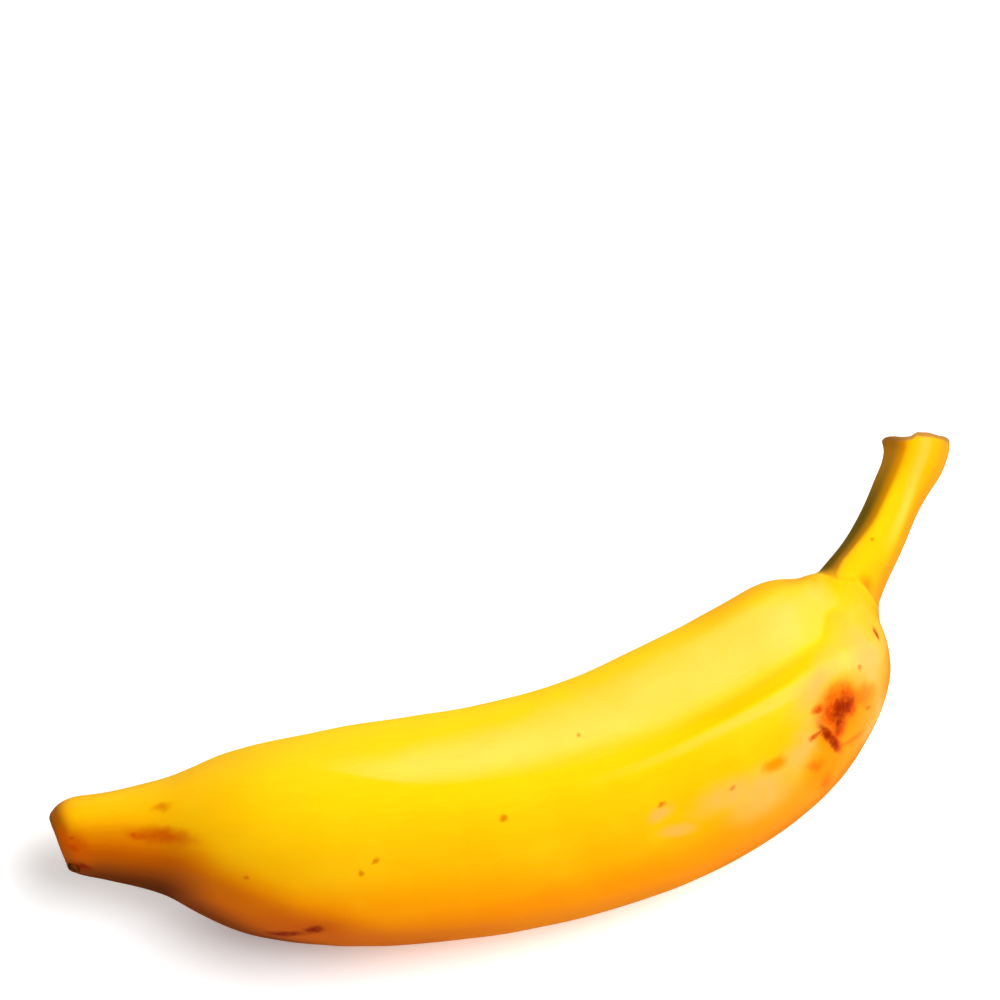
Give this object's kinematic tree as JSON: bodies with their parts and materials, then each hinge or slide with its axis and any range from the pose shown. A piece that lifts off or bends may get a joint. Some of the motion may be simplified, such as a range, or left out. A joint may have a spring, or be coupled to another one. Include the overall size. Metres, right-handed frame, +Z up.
{
  "type": "apple banana",
  "caption": "Short, plump, bent dessert banana with five soft ridges, a blunt shoulder, its cut stalk and a dry blossom end, lying on its flank.",
  "frame": {"origin": "on the surface that the fruit lies on, under the middle of its bounding box", "axes": "+X from the blossom end to the stalk, +Y towards the hollow side of the bend, +Z up"},
  "size_m": [0.1506, 0.0524, 0.0343],
  "materials": {
    "peel": "satin"
  },
  "bodies": {
    "root": {"banana": "peel"}
  },
  "joints": []
}
